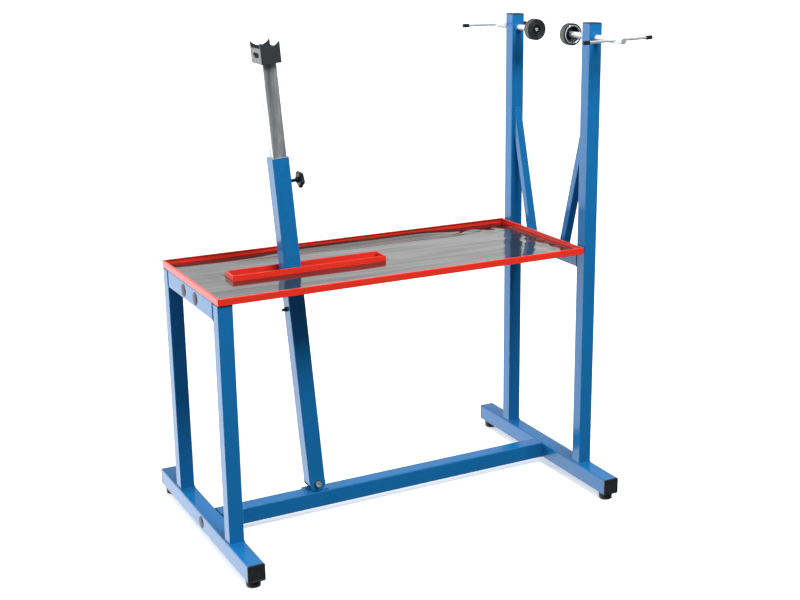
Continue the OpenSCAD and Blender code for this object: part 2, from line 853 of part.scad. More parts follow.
rear_spindle();
rear_retaining_screw();
rear_bar();
rear_bar_caps();
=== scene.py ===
"""Looks of the bicycle repair stand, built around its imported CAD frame.

Lengths in this script are millimetres in the CAD's own axes, and meshes are scaled to metres when they
are made. Pieces named *_skin are a CAD node's own shape with its edges eased and its welds cleaned up.
"""

import json
import math

import bmesh
import bpy
from mathutils import Matrix, Vector, noise

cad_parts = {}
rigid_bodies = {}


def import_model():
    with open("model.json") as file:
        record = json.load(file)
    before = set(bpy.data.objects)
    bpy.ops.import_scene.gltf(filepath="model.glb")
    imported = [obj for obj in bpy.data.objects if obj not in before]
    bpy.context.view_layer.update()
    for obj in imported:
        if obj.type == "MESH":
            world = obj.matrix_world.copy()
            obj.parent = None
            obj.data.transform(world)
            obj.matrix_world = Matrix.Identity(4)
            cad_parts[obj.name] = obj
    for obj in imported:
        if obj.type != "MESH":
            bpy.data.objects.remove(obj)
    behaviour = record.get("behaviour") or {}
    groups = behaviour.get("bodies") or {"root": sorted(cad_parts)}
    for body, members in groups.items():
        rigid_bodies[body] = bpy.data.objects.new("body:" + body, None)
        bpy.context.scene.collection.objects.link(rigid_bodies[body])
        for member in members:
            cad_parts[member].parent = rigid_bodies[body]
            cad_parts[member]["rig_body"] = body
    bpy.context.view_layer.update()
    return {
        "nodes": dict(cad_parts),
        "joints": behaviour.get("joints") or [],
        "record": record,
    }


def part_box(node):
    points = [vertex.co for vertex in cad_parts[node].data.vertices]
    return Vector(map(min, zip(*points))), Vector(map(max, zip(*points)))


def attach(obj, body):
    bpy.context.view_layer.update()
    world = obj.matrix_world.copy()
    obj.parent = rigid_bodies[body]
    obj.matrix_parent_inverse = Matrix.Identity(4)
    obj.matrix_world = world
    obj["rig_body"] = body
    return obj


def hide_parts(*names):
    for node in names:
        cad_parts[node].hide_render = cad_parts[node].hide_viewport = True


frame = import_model()

MM = 0.001
NODES = frame["nodes"]
JOINTS = {j["name"]: j for j in frame["joints"]}


def low(node):
    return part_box(node)[0] / MM


def high(node):
    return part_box(node)[1] / MM


# ---------- places taken from the frame ----------

LEFT_X = low("left_foot_beam").x
BEAM = high("left_foot_beam").x - LEFT_X
BEAM_Z = low("left_foot_beam").z
BEAM_TOP = high("left_foot_beam").z
RIGHT_X = low("right_foot_beam").x
HALF_DEPTH = high("beam_end_caps").y
LEG_X = low("left_front_leg").x
LEG = high("left_front_leg").x - LEG_X
POST_MID = (low("front_post").x + high("front_post").x) / 2
LEG_MID = LEG_X + LEG / 2
SIDE_Y = (low("rear_post").y + high("rear_post").y) / 2
INNER_Y = SIDE_Y - LEG / 2
TRAY_Z = low("tray_floor").z
RIM_TOP = high("tray_rim").z
POST_TOP = high("post_caps").z
CROSS_LOW = low("left_cross_tube").z
PIVOT = Vector(JOINTS["support_tilt"]["pos_m"]) / MM
TUBE_AXIS = Vector(JOINTS["support_extend"]["axis"])
LEAN = math.atan2(-TUBE_AXIS.x, TUBE_AXIS.z)
SUPPORT = Matrix.Translation(PIVOT) @ Matrix.Rotation(-LEAN, 4, "Y")
KNOB_POINT = Vector(JOINTS["knob_turn"]["pos_m"]) / MM
KNOB_AT = (KNOB_POINT - PIVOT).length
FRONT_FACE = Vector(JOINTS["front_turn"]["pos_m"]) / MM
REAR_FACE = Vector(JOINTS["rear_turn"]["pos_m"]) / MM
BAR_AXIS = Vector(JOINTS["front_handle_slide"]["axis"])
BAR_TURN = math.atan2(BAR_AXIS.z, BAR_AXIS.x)
FRONT_CLAMP = Matrix.Translation(FRONT_FACE) @ Matrix.Rotation(math.radians(90), 4, "X")
REAR_CLAMP = Matrix.Translation(REAR_FACE) @ Matrix.Rotation(math.radians(-90), 4, "X")
FRONT_TURNED = FRONT_CLAMP @ Matrix.Rotation(BAR_TURN, 4, "Z")

# ---------- materials ----------


class Shader:
    """A Principled material with a few helpers to build its procedural detail."""

    def __init__(self, name, color, rough, metallic=0.0, **sockets):
        self.mat = bpy.data.materials.new(name)
        self.mat.use_nodes = True
        self.tree = self.mat.node_tree
        self.bsdf = self.tree.nodes["Principled BSDF"]
        self.color = color
        self.bsdf.inputs["Base Color"].default_value = (*color, 1)
        self.bsdf.inputs["Roughness"].default_value = rough
        self.bsdf.inputs["Metallic"].default_value = metallic
        for socket, value in sockets.items():
            self.bsdf.inputs[socket.replace("_", " ")].default_value = value
        self.coords = self.node("ShaderNodeTexCoord").outputs["Object"]

    def node(self, kind, **settings):
        made = self.tree.nodes.new(kind)
        for key, value in settings.items():
            setattr(made, key, value)
        return made

    def link(self, source, target):
        self.tree.links.new(source, target)

    def stretched(self, stretch):
        mapping = self.node("ShaderNodeMapping")
        mapping.inputs["Scale"].default_value = stretch
        self.link(self.coords, mapping.inputs["Vector"])
        return mapping.outputs["Vector"]

    def noise(self, scale, detail=3.0, rough=0.5, stretch=(1, 1, 1)):
        made = self.node("ShaderNodeTexNoise")
        made.inputs["Scale"].default_value = scale
        made.inputs["Detail"].default_value = detail
        made.inputs["Roughness"].default_value = rough
        self.link(self.stretched(stretch), made.inputs["Vector"])
        return made.outputs["Fac"]

    def cells(self, scale, stretch):
        made = self.node("ShaderNodeTexVoronoi")
        made.inputs["Scale"].default_value = scale
        self.link(self.stretched(stretch), made.inputs["Vector"])
        part = self.node("ShaderNodeSeparateColor")
        self.link(made.outputs["Color"], part.inputs[0])
        return part.outputs[0]

    def spread(self, fac, low_value, high_value, from_low=0.3, from_high=0.7):
        made = self.node("ShaderNodeMapRange")
        made.inputs["From Min"].default_value = from_low
        made.inputs["From Max"].default_value = from_high
        made.inputs["To Min"].default_value = low_value
        made.inputs["To Max"].default_value = high_value
        self.link(fac, made.inputs["Value"])
        return made.outputs["Result"]

    def tint(self, fac, other, from_low=0.3, from_high=0.7):
        """Mixes the base colour towards other where fac is high."""
        mix = self.node("ShaderNodeMix", data_type="RGBA")
        mix.inputs["A"].default_value = (*self.color, 1)
        before = self.bsdf.inputs["Base Color"].links
        if before:
            self.link(before[0].from_socket, mix.inputs["A"])
        mix.inputs["B"].default_value = (*other, 1)
        self.link(self.spread(fac, 0, 1, from_low, from_high), mix.inputs["Factor"])
        self.link(mix.outputs["Result"], self.bsdf.inputs["Base Color"])
        return self

    def gloss(self, fac, low_value, high_value):
        self.link(self.spread(fac, low_value, high_value), self.bsdf.inputs["Roughness"])
        return self

    def bump(self, fac, depth_mm):
        made = self.node("ShaderNodeBump")
        made.inputs["Strength"].default_value = 1.0
        made.inputs["Distance"].default_value = depth_mm * MM
        self.link(fac, made.inputs["Height"])
        before = self.bsdf.inputs["Normal"].links
        if before:
            self.link(before[0].from_socket, made.inputs["Normal"])
        self.link(made.outputs["Normal"], self.bsdf.inputs["Normal"])
        return self


def shade(color, share):
    return tuple(c * share for c in color)


def powder_coat(name, color, rough, peel):
    made = Shader(
        name, color, rough, Specular_IOR_Level=0.12, Coat_Weight=0.4, Coat_Roughness=0.05, Coat_IOR=1.2
    )
    made.tint(made.noise(5, 3), shade(color, 0.9))
    made.tint(made.noise(140, 2), shade(color, 1.06), 0.5, 0.8)
    made.gloss(made.noise(28, 4), rough * 0.8, rough * 1.25)
    made.bump(made.noise(420, 2), peel)
    return made.mat


def moulded(name, color, rough, grain_mm, shine=0.3):
    made = Shader(name, color, rough, Specular_IOR_Level=shine)
    made.tint(made.noise(60, 4), shade(color, 1.5))
    made.gloss(made.noise(35, 4), rough * 0.85, rough * 1.2)
    made.bump(made.noise(900, 3), grain_mm)
    return made.mat


def turned_metal(name, color, rough, streak, scale=60, depth=0.01, metallic=1.0):
    made = Shader(name, color, rough, metallic=metallic)
    lines = made.noise(scale, 4, 0.6, streak)
    made.tint(lines, shade(color, 0.82))
    made.gloss(lines, rough * 0.75, rough * 1.35)
    made.bump(lines, depth)
    return made.mat


def galvanised(name):
    made = Shader(name, (0.50, 0.53, 0.54), 0.26, metallic=0.5)
    spangle = made.cells(90, (1, 1, 0.45))
    lines = made.noise(70, 4, 0.6, (1, 1, 0.04))
    made.tint(spangle, (0.40, 0.43, 0.44), 0.2, 0.9)
    made.tint(lines, (0.16, 0.175, 0.18), 0.46, 0.68)
    made.gloss(lines, 0.2, 0.42)
    made.bump(lines, 0.03)
    return made.mat


def mat_rubber(name):
    made = Shader(name, (0.010, 0.0105, 0.0105), 0.1, Specular_IOR_Level=1.0)
    made.tint(made.noise(7, 4, 0.6, (0.4, 1.6, 1)), (0.03, 0.031, 0.03))
    made.gloss(made.noise(9, 5, 0.6, (0.3, 2.0, 1)), 0.04, 0.16)
    made.bump(made.noise(16, 2, 0.5, (0.12, 2.2, 1)), 0.35)
    return made.mat


MATERIALS = {
    "blue_paint": powder_coat("blue_paint", (0.008, 0.155, 0.405), 0.2, 0.02),
    "red_paint": powder_coat("red_paint", (0.82, 0.034, 0.018), 0.18, 0.02),
    "anthracite_paint": powder_coat("anthracite_paint", (0.035, 0.04, 0.045), 0.4, 0.06),
    "black_plastic": moulded("black_plastic", (0.016, 0.018, 0.021), 0.42, 0.03, shine=0.2),
    "gloss_black_plastic": moulded("gloss_black_plastic", (0.010, 0.011, 0.014), 0.3, 0.012, shine=0.1),
    "sleeve_plastic": moulded("sleeve_plastic", (0.62, 0.61, 0.57), 0.45, 0.02),
    "foot_rubber": moulded("foot_rubber", (0.018, 0.018, 0.02), 0.55, 0.06),
    "head_rubber": moulded("head_rubber", (0.016, 0.017, 0.018), 0.38, 0.04, shine=0.35),
    "mat_rubber": mat_rubber("mat_rubber"),
    "zinc_steel": turned_metal("zinc_steel", (0.70, 0.71, 0.72), 0.28, (1, 1, 1), metallic=0.6),
    "grey_steel": turned_metal("grey_steel", (0.13, 0.135, 0.14), 0.45, (1, 1, 1), 160, 0.05),
    "black_steel": turned_metal("black_steel", (0.07, 0.07, 0.075), 0.35, (1, 1, 1)),
    "galvanised_steel": galvanised("galvanised_steel"),
    "brass": turned_metal("brass", (0.70, 0.50, 0.22), 0.3, (1, 1, 1)),
    "bright_chrome": turned_metal("bright_chrome", (0.74, 0.76, 0.77), 0.2, (1, 0.2, 1), 90, 0.004, 0.6),
}
SLOTS = {s["node"]: s["material_slot"] for s in frame["record"]["subparts"]}

# ---------- making meshes ----------

SHARP = math.radians(42)        # edges sharper than this are shaded as edges
EASED = math.radians(26)        # edges of a CAD node sharper than this are eased
FLAT = math.radians(0.8)        # faces closer to level than this are one face


def finish_mesh(name, bm, slot, body, matrix=None, replaces=()):
    """Turns a bmesh, in millimetres, into a smooth-shaded piece that rides on a body."""
    bmesh.ops.recalc_face_normals(bm, faces=bm.faces)
    mesh = bpy.data.meshes.new(name)
    bm.to_mesh(mesh)
    bm.free()
    mesh.transform(Matrix.Scale(MM, 4) @ (matrix or Matrix.Identity(4)))
    mesh.shade_smooth()
    mesh.set_sharp_from_angle(angle=SHARP)
    mesh.materials.append(MATERIALS[slot])
    piece = bpy.data.objects.new(name, mesh)
    bpy.context.scene.collection.objects.link(piece)
    normals = piece.modifiers.new("face_weights", "WEIGHTED_NORMAL")
    normals.keep_sharp = True
    normals.weight = 80
    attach(piece, body)
    if replaces:
        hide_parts(*replaces)
    return piece


def fillet(corners, closed=False, steps=4):
    """Points of an outline whose corners (x, y, radius) are rounded."""
    out = []
    count = len(corners)
    for i, (x, y, radius) in enumerate(corners):
        at_end = not closed and i in (0, count - 1)
        if radius <= 0 or at_end:
            out.append((x, y))
            continue
        here = Vector((x, y))
        before = Vector(corners[i - 1][:2]) - here
        after = Vector(corners[(i + 1) % count][:2]) - here
        half = before.angle(after) / 2
        if half > math.radians(89.5):
            out.append((x, y))
            continue
        reach = min(radius / math.tan(half), before.length * 0.48, after.length * 0.48)
        radius = reach * math.tan(half)
        before.normalize()
        after.normalize()
        centre = here + (before + after).normalized() * radius / math.sin(half)
        start = here + before * reach - centre
        end = here + after * reach - centre
        turn = start.angle_signed(end)
        for k in range(steps + 1):
            arm = start.copy()
            arm.rotate(Matrix.Rotation(-turn * k / steps, 2))
            out.append(tuple(centre + arm))
    return out


def loops_to_mesh(loops, closed=False, cap_end=False):
    """Joins equal loops of points into a surface. A loop of one point is a pole."""
    bm = bmesh.new()
    rings = [[bm.verts.new(p) for p in loop] for loop in loops]
    pairs = list(zip(rings, rings[1:]))
    if closed:
        pairs.append((rings[-1], rings[0]))
    for a, b in pairs:
        n = max(len(a), len(b))
        for i in range(n):
            j = (i + 1) % n
            corners = [a[i % len(a)], a[j % len(a)], b[j % len(b)], b[i % len(b)]]
            unique = list(dict.fromkeys(corners))
            if len(unique) > 2:
                bm.faces.new(unique)
    if cap_end and len(rings[-1]) > 2:
        bm.faces.new(rings[-1])
    return bm


def turned_loops(outline, segments, shape=None):
    loops = []
    for r, z in outline:
        if r < 1e-6:
            loops.append([(0, 0, z)])
            continue
        loop = []
        for i in range(segments):
            angle = 2 * math.pi * i / segments
            radius = shape(r, z, angle) if shape else r
            loop.append((radius * math.cos(angle), radius * math.sin(angle), z))
        loops.append(loop)
    return loops


def lathe(name, corners, slot, body, matrix, closed=False, segments=64, shape=None, replaces=(), steps=4):
    outline = fillet(corners, closed, steps)
    bm = loops_to_mesh(turned_loops(outline, segments, shape), closed)
    return finish_mesh(name, bm, slot, body, matrix, replaces)


def ring(hx, hy, radius, steps=5):
    """Rounded rectangle about the origin, hx and hy being half its sides."""
    radius = max(min(radius, hx - 0.01, hy - 0.01), 0.05)
    points = []
    for sx, sy, start in ((1, 1, 0), (-1, 1, 90), (-1, -1, 180), (1, -1, 270)):
        for k in range(steps + 1):
            angle = math.radians(start + 90 * k / steps)
            x = sx * (hx - radius) + radius * math.cos(angle)
            y = sy * (hy - radius) + radius * math.sin(angle)
            points.append((x, y))
    return points


def framed_loops(outline, hx, hy, radius, steps=5):
    """Loops for an outline of (inset, height) points carried round a rounded rectangle."""
    return [
        [(x, y, z) for x, y in ring(hx - inset, hy - inset, radius - inset, steps)]
        for inset, z in outline
    ]


def skin(node, ease):
    """The CAD node's own shape, with its sharp edges eased."""
    bm = bmesh.new()
    bm.from_mesh(NODES[node].data)
    bmesh.ops.scale(bm, vec=(1 / MM, 1 / MM, 1 / MM), verts=bm.verts)
    bmesh.ops.remove_doubles(bm, verts=bm.verts, dist=0.004)
    bmesh.ops.dissolve_limit(bm, angle_limit=FLAT, verts=bm.verts, edges=bm.edges)
    sharp = [e for e in bm.edges if len(e.link_faces) == 2 and e.calc_face_angle(0) > EASED]
    bmesh.ops.bevel(
        bm, geom=sharp, offset=ease, segments=3, profile=0.5, affect="EDGES", clamp_overlap=True
    )
    finish_mesh(node + "_skin", bm, SLOTS[node], NODES[node]["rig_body"], replaces=(node,))


def even(path, spacing):
    """The points of a closed path again, an even distance apart."""
    points = [Vector(p) for p in path]
    points.append(points[0])
    lengths = [(b - a).length for a, b in zip(points, points[1:])]
    total = sum(lengths)
    count = max(int(total / spacing), 8)
    out = []
    leg, done = 0, 0.0
    for k in range(count):
        want = total * k / count
        while leg < len(lengths) - 1 and done + lengths[leg] < want:
            done += lengths[leg]
            leg += 1
        share = min((want - done) / max(lengths[leg], 1e-9), 1)
        out.append(points[leg].lerp(points[leg + 1], share))
    return out


def angles(count):
    """That many angles, evenly round a circle."""
    return [2 * math.pi * k / count for k in range(count)]


BEAD_STEP = 0.75        # between two loops of a bead
BEAD_PITCH = 2.6        # between two ripples of a bead
BEAD_SIDES = 10


def bead(name, path, radius, normal, seed, body="frame"):
    """A painted weld bead: a rope of overlapping ripples laid along a closed path."""
    normal = Vector(normal).normalized()
    points = even(path, BEAD_STEP)
    loops = []
    for i, p in enumerate(points):
        along = (points[(i + 1) % len(points)] - points[i - 1]).normalized()
        side = along.cross(normal).normalized()
        ripple = 0.84 + 0.16 * abs(math.cos(math.pi * i * BEAD_STEP / BEAD_PITCH))
        wander = 1 + 0.14 * noise.noise(p * 0.16 + Vector((seed, 0, 0)))
        size = radius * ripple * wander
        loops.append([p + (side * math.cos(a) + normal * math.sin(a)) * size for a in angles(BEAD_SIDES)])
    finish_mesh(name, loops_to_mesh(loops, closed=True), "blue_paint", body)


def rectangle_path(centre, across, upright, hx, hy, radius):
    """A rounded rectangle in space, in the plane of two directions."""
    across, upright = Vector(across), Vector(upright)
    return [Vector(centre) + across * x + upright * y for x, y in ring(hx, hy, radius)]


X, Y, Z = Vector((1, 0, 0)), Vector((0, 1, 0)), Vector((0, 0, 1))

# ---------- painted frame ----------

for node in (
    "left_foot_beam", "right_foot_beam", "left_front_leg", "left_rear_leg", "left_cross_tube", "front_post",
    "rear_post", "right_cross_tube", "front_brace", "rear_brace", "lower_beam", "front_rail", "rear_rail",
    "front_thread_bush", "rear_thread_bush", "knob_nut", "pivot_lug", "support_outer_tube",
):
    skin(node, 0.5)

for node in (
    "lower_beam_plug", "frame_bolts", "foot_studs", "tray_screws", "pivot_bolt", "pivot_nut",
    "pivot_bushes", "guide_sleeve", "stop_bolt", "inner_tube_glide", "cradle_mount_block", "cradle_bolt",
    "clamp_pad", "front_head_bearing", "rear_head_bearing",
):
    skin(node, 0.3)

for node in ("cradle_body", "cradle_front_plate", "cradle_rear_plate", "support_inner_tube"):
    skin(node, 0.6)

# The radius of each kind of weld bead, and of the corners of the tubes that they run round
BASE_BEAD = 3.4
CROSS_BEAD = 2.0
BRACE_BEAD = 1.8
LUG_BEAD = 2.0
BUSH_BEAD = 1.3
NUT_BEAD = 1.2
LEG_CORNER = 3.5
BEAM_CORNER = 4.0
BRACE_CORNER = 2.5
LUG_CORNER = 1.0
KNOB_NUT_R = 10.0

half_leg = LEG / 2
half_beam = BEAM / 2
cross_mid_z = (CROSS_LOW + TRAY_Z) / 2
half_cross = (TRAY_Z - CROSS_LOW) / 2
beam_mid_z = (BEAM_TOP + BEAM_Z) / 2

for name, x, y in (
    ("left_front_leg", LEG_MID, -SIDE_Y), ("left_rear_leg", LEG_MID, SIDE_Y),
    ("front_post", POST_MID, -SIDE_Y), ("rear_post", POST_MID, SIDE_Y),
):
    path = rectangle_path((x, y, BEAM_TOP), X, Y, half_leg, half_leg, LEG_CORNER)
    bead(name + "_weld", path, BASE_BEAD, Z, x)

for name, x in (("left", LEG_MID), ("right", POST_MID)):
    for side, end in ((-1, "front"), (1, "rear")):
        path = rectangle_path((x, side * INNER_Y, cross_mid_z), X, Z, half_leg, half_cross, LEG_CORNER)
        bead(f"{name}_cross_tube_{end}_weld", path, CROSS_BEAD, Y, x + side)

path = rectangle_path((RIGHT_X, 0, beam_mid_z), Y, Z, half_beam, half_beam, BEAM_CORNER)
bead("lower_beam_weld", path, CROSS_BEAD, X, 3.0)

brace_half = (high("front_brace").x - low("front_brace").x) / 2
for side, end in ((-1, "front"), (1, "rear")):
    node = end + "_brace"
    foot = min(abs(low(node).y), abs(high(node).y))
    top_z = high(node).z
    lean = math.atan2(INNER_Y - foot - 2 * brace_half, top_z - TRAY_Z)
    wide = brace_half / math.cos(lean)
    tall = brace_half / math.sin(lean)
    foot_at = (POST_MID, side * (foot + wide), TRAY_Z)
    top_at = (POST_MID, side * INNER_Y, top_z - tall)
    path = rectangle_path(foot_at, X, Y, brace_half, wide, BRACE_CORNER)
    bead(node + "_foot_weld", path, BRACE_BEAD, Z, side * 2.0)
    path = rectangle_path(top_at, X, Z, brace_half, tall, BRACE_CORNER)
    bead(node + "_top_weld", path, BRACE_BEAD, Y, side * 5.0)

lug_low, lug_high = low("pivot_lug"), high("pivot_lug")
lug_mid = (lug_low + lug_high) / 2
path = rectangle_path(
    (lug_mid.x, 0, BEAM_TOP), X, Y, (lug_high.x - lug_low.x) / 2, (lug_high.y - lug_low.y) / 2, LUG_CORNER
)
bead("pivot_lug_weld", path, LUG_BEAD, Z, 9.0)

bush_r = (high("front_thread_bush").x - low("front_thread_bush").x) / 2
for side, end in ((-1, "front"), (1, "rear")):
    for y, place in ((INNER_Y, "inner"), (INNER_Y + LEG, "outer")):
        path = [
            Vector((POST_MID + bush_r * math.cos(a), side * y, FRONT_FACE.z + bush_r * math.sin(a)))
            for a in angles(48)
        ]
        bead(f"{end}_bush_{place}_weld", path, BUSH_BEAD, Y, y * side)

path = [
    SUPPORT @ Vector((half_beam, KNOB_NUT_R * math.cos(a), KNOB_AT + KNOB_NUT_R * math.sin(a)))
    for a in angles(40)
]
bead("knob_nut_weld", path, NUT_BEAD, SUPPORT.to_3x3() @ X, 4.0, "support")

# ---------- plastic caps, plugs and feet ----------


TOP_CAP_T = 3.0
END_CAP_T = 4.0
FOOT_INSET = 30.0
PLUG_R = 18.0
PLUG_Y = 50.0


def tube_caps(name, node, places, half, radius, thick):
    """Moulded caps, each with a rounded edge and a shallow sunk field.

    The places are matrices that turn +Z out of the tube.
    """
    corners = [
        (0.2, -4, 0), (0.2, 0, 0), (-0.2, 0.1, 0.1), (-0.1, thick, 1.3), (4.0, thick, 0.4),
        (4.8, thick - 0.7, 0.4), (half * 0.5, thick - 0.5, 0),
    ]
    merged = bmesh.new()
    for place in places:
        bm = loops_to_mesh(framed_loops(fillet(corners), half, half, radius), cap_end=True)
        bmesh.ops.transform(bm, matrix=place, verts=bm.verts)
        part = bpy.data.meshes.new("part")
        bm.to_mesh(part)
        bm.free()
        merged.from_mesh(part)
        bpy.data.meshes.remove(part)
    finish_mesh(name, merged, SLOTS[node], "frame", replaces=(node,))


leg_places = [Matrix.Translation((LEG_MID, s * SIDE_Y, TRAY_Z - TOP_CAP_T)) for s in (-1, 1)]
post_places = [Matrix.Translation((POST_MID, s * SIDE_Y, POST_TOP - TOP_CAP_T)) for s in (-1, 1)]
end_places = [
    Matrix.Translation((x + half_beam, s * (HALF_DEPTH - END_CAP_T), beam_mid_z))
    @ Matrix.Rotation(-s * math.pi / 2, 4, "X")
    for x in (LEFT_X, RIGHT_X)
    for s in (-1, 1)
]
tube_caps("leg_top_caps", "leg_caps", leg_places, half_leg, LEG_CORNER, TOP_CAP_T)
tube_caps("post_top_caps", "post_caps", post_places, half_leg, LEG_CORNER, TOP_CAP_T)
tube_caps("beam_caps", "beam_end_caps", end_places, half_beam, BEAM_CORNER, END_CAP_T)

foot_y = HALF_DEPTH - FOOT_INSET
foot_r = high("rubber_feet").y - foot_y
foot_corners = [
    (0, 0, 0), (foot_r - 4, 0, 0), (foot_r - 1.2, 1.6, 1.0), (foot_r - 0.4, BEAM_Z * 0.55, 0.5),
    (foot_r - 1.6, BEAM_Z * 0.6, 0.4), (foot_r - 1.6, BEAM_Z * 0.68, 0.4), (foot_r, BEAM_Z * 0.73, 0.5),
    (foot_r, BEAM_Z - 0.1, 1.2), (foot_r * 0.5, BEAM_Z - 0.1, 0), (0, BEAM_Z - 0.1, 0),
]
for x, side_name in ((LEFT_X + half_beam, "left"), (RIGHT_X + half_beam, "right")):
    for s, end in ((-1, "front"), (1, "rear")):
        place = Matrix.Translation((x, s * foot_y, 0))
        lathe(f"foot_{side_name}_{end}", foot_corners, "foot_rubber", "frame", place,
              replaces=("rubber_feet",))

plug_corners = [
    (0, 2.9, 0), (PLUG_R * 0.55, 2.5, 6), (PLUG_R * 0.9, 1.2, 2), (PLUG_R, 0.9, 0.4), (PLUG_R, 0, 0.2),
    (PLUG_R - 1.6, 0, 0.2), (PLUG_R - 1.6, -5, 0.4), (PLUG_R - 3.5, -5, 0),
]
plug_places = [(LEFT_X, 0, beam_mid_z), (LEG_X, -PLUG_Y, cross_mid_z), (LEG_X, PLUG_Y, cross_mid_z)]
for i, at in enumerate(plug_places):
    place = Matrix.Translation(at) @ Matrix.Rotation(-math.pi / 2, 4, "Y")
    lathe(f"access_plug_{i + 1}", plug_corners, "gloss_black_plastic", "frame", place,
          replaces=("access_plugs",))

# ---------- tray, coaming and mat ----------

SHEET_T = 1.5
COAMING_T = 3.0
HEM_W = 5.6         # width and height of the rim's folded hem
HEM_H = 2.4
RIM_LAP = 12.0      # the rim's foot reaches this far in from the tray's edge
PAN_INSET = 10.0
PAN_STEP = 400.0
MAT_STEP = 7.0
MAT_GAP = 2.0       # between the mat and the coaming

tray_low, tray_high = low("tray_rim"), high("tray_rim")
tray_mid = (tray_low + tray_high) / 2
half_x = (tray_high.x - tray_low.x) / 2
half_y = (tray_high.y - tray_low.y) / 2
rim = RIM_TOP - TRAY_Z
rim_corners = [
    (RIM_LAP, 0, 0), (0, 0, 1.8), (0, rim, 1.9), (HEM_W, rim, 1.2), (HEM_W, rim - HEM_H, 0.8),
    (SHEET_T, rim - HEM_H, 0.6), (SHEET_T, SHEET_T, 0.8), (RIM_LAP, SHEET_T, 0),
]
tray_place = Matrix.Translation((tray_mid.x, 0, TRAY_Z))
bm = loops_to_mesh(framed_loops(fillet(rim_corners, True), half_x, half_y, 2.2, 4), closed=True)
finish_mesh("tray_rim_folded", bm, "red_paint", "frame", tray_place, ("tray_rim",))

slot_low, slot_high = low("slot_coaming"), high("slot_coaming")
slot_mid = (slot_low + slot_high) / 2
half_slot_x = (slot_high.x - slot_low.x) / 2
half_slot_y = (slot_high.y - slot_low.y) / 2


def holed_plate(x0, x1, y0, y1, hole, z0, z1, step):
    """A flat plate on a grid from z0 to z1, with a rectangular hole (x0, x1, y0, y1) left out of it."""
    hx0, hx1, hy0, hy1 = hole

    def stations(a, b, stops):
        marks = sorted({a, b, *stops})
        out = []
        for p, q in zip(marks, marks[1:]):
            n = max(1, round((q - p) / step))
            out += [p + (q - p) * k / n for k in range(n)]
        return out + [b]

    xs, ys = stations(x0, x1, (hx0, hx1)), stations(y0, y1, (hy0, hy1))
    bm = bmesh.new()
    grids = [[[bm.verts.new((x, y, z)) for y in ys] for x in xs] for z in (z0, z1)]

    def solid(i, j):
        if not (0 <= i < len(xs) - 1 and 0 <= j < len(ys) - 1):
            return False
        mx, my = (xs[i] + xs[i + 1]) / 2, (ys[j] + ys[j + 1]) / 2
        return not (hx0 < mx < hx1 and hy0 < my < hy1)

    for i in range(len(xs) - 1):
        for j in range(len(ys) - 1):
            if not solid(i, j):
                continue
            square = [(i, j), (i + 1, j), (i + 1, j + 1), (i, j + 1)]
            for grid in grids:
                bm.faces.new([grid[a][b] for a, b in square])
            neighbours = ((0, -1), (1, 0), (0, 1), (-1, 0))
            for k, (di, dj) in enumerate(neighbours):
                if not solid(i + di, j + dj):
                    (a, b), (c, d) = square[k], square[(k + 1) % 4]
                    bm.faces.new([grids[0][a][b], grids[0][c][d], grids[1][c][d], grids[1][a][b]])
    loose = [v for v in bm.verts if not v.link_faces]
    bmesh.ops.delete(bm, geom=loose, context="VERTS")
    return bm


pan_hole = (slot_low.x, slot_high.x, slot_low.y, slot_high.y)
bm = holed_plate(tray_low.x + PAN_INSET, tray_high.x - PAN_INSET, tray_low.y + PAN_INSET,
                 tray_high.y - PAN_INSET, pan_hole, TRAY_Z, TRAY_Z + SHEET_T, PAN_STEP)
finish_mesh("tray_pan", bm, "red_paint", "frame", replaces=("tray_floor",))

coaming_corners = [(0, 0, 0.3), (0, rim, 1.2), (COAMING_T, rim, 1.2), (COAMING_T, 0, 0.3)]
coaming_loops = framed_loops(fillet(coaming_corners, True), half_slot_x, half_slot_y, 1.6, 4)
bm = loops_to_mesh(coaming_loops, closed=True)
finish_mesh("slot_edge", bm, "red_paint", "frame", Matrix.Translation((slot_mid.x, 0, TRAY_Z)),
            ("slot_coaming",))

mat_low, mat_high = low("tray_mat"), high("tray_mat")

CREASE_Y = 158.0        # where the long crease runs, half way along the mat
CREASE_SLANT = 14.0
CREASE_H = 2.0
CREASE_W = 4.5
BACK_H = 5.0            # how far the mat swells up behind the crease
RIPPLE_H = 1.3          # of the small ripples at the right end
FOLD_H = 2.0            # of the slanted fold in the rear right corner
FOLD_W = 9.0
CURL_H = 2.5            # of the edge at the left end
SLOT_FADE = 25.0        # the mat comes up to its full height over this width,
SLOT_EDGE = 6.0         # which starts this far inside the coaming's outer edge


def smooth(a, b, t):
    """Rises smoothly from 0 at a to 1 at b, which may be the lower of the two."""
    t = max(0.0, min(1.0, (t - a) / (b - a)))
    return t * t * (3 - 2 * t)


